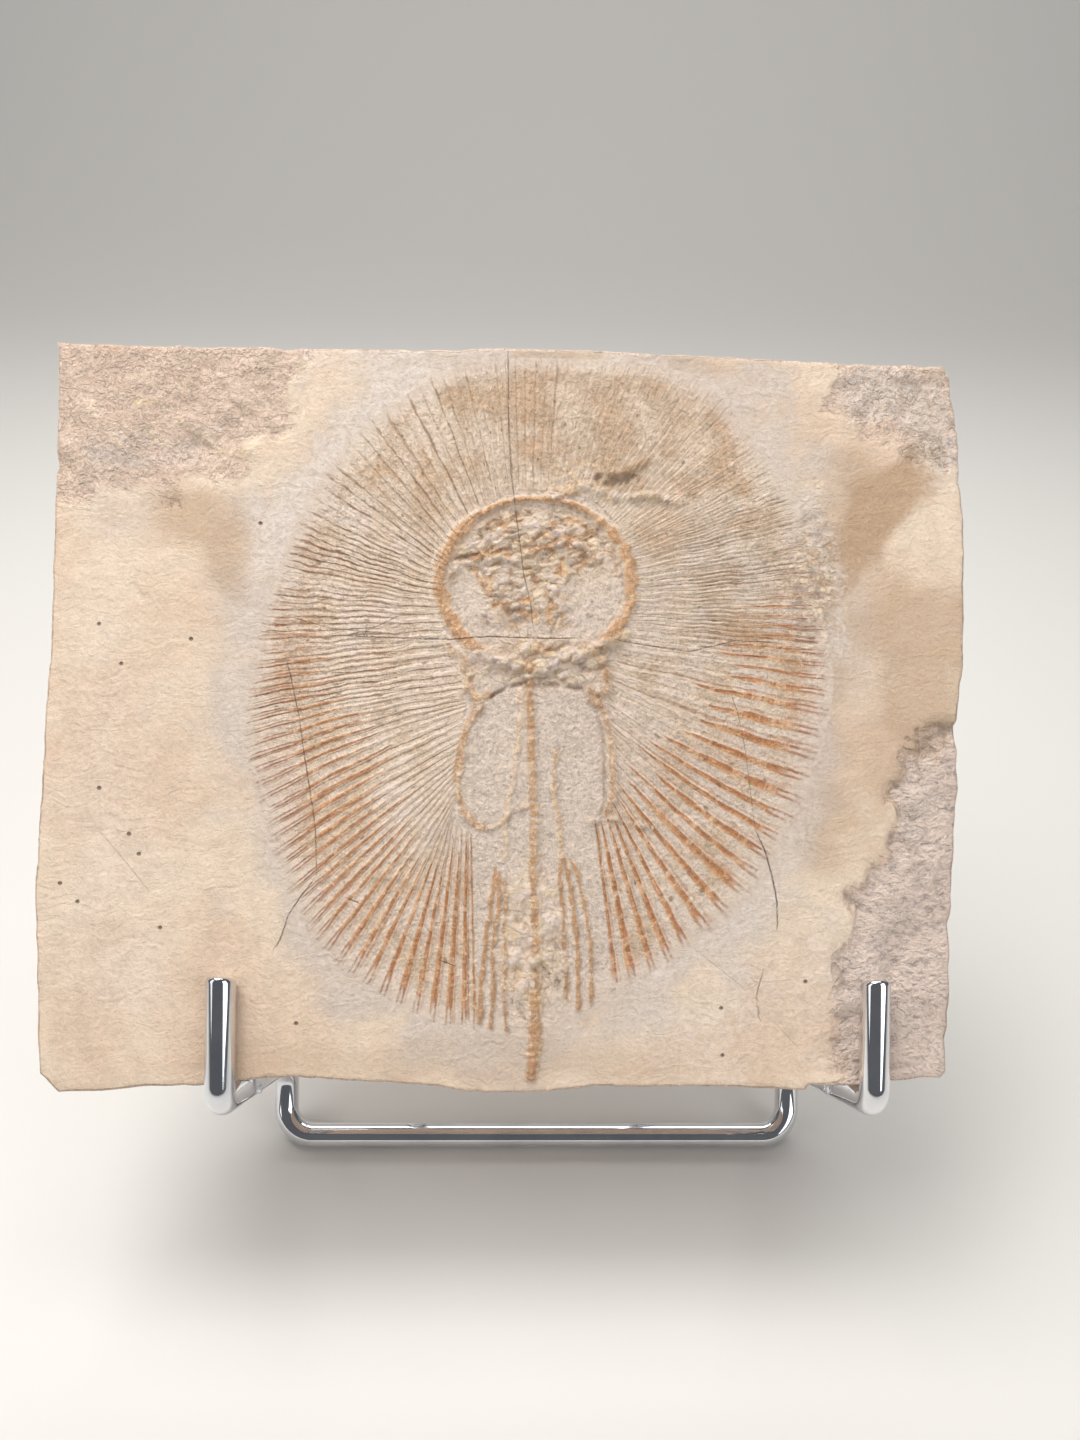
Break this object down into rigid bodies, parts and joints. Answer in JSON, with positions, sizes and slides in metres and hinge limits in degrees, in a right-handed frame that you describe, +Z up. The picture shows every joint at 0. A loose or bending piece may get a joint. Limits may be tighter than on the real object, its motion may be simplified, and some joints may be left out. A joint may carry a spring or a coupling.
{
  "type": "fossil ray slab on an easel",
  "caption": "Flat limestone slab with a disc-shaped fossil ray in low relief, leaning back on a bent chrome rod easel.",
  "frame": {"origin": "centre of the object's box on the surface that it stands on", "axes": "+Z up, -Y towards the viewer of the fossil face, +X to that viewer's right; the slab leans back 32 degrees from upright"},
  "size_m": [0.1504, 0.1044, 0.1541],
  "materials": {
    "limestone": "matte",
    "chrome": "polished"
  },
  "bodies": {
    "root": {"fossil_slab": "limestone", "carrier_rod": "chrome", "back_rest": "chrome", "rear_leg": "chrome"}
  },
  "joints": []
}
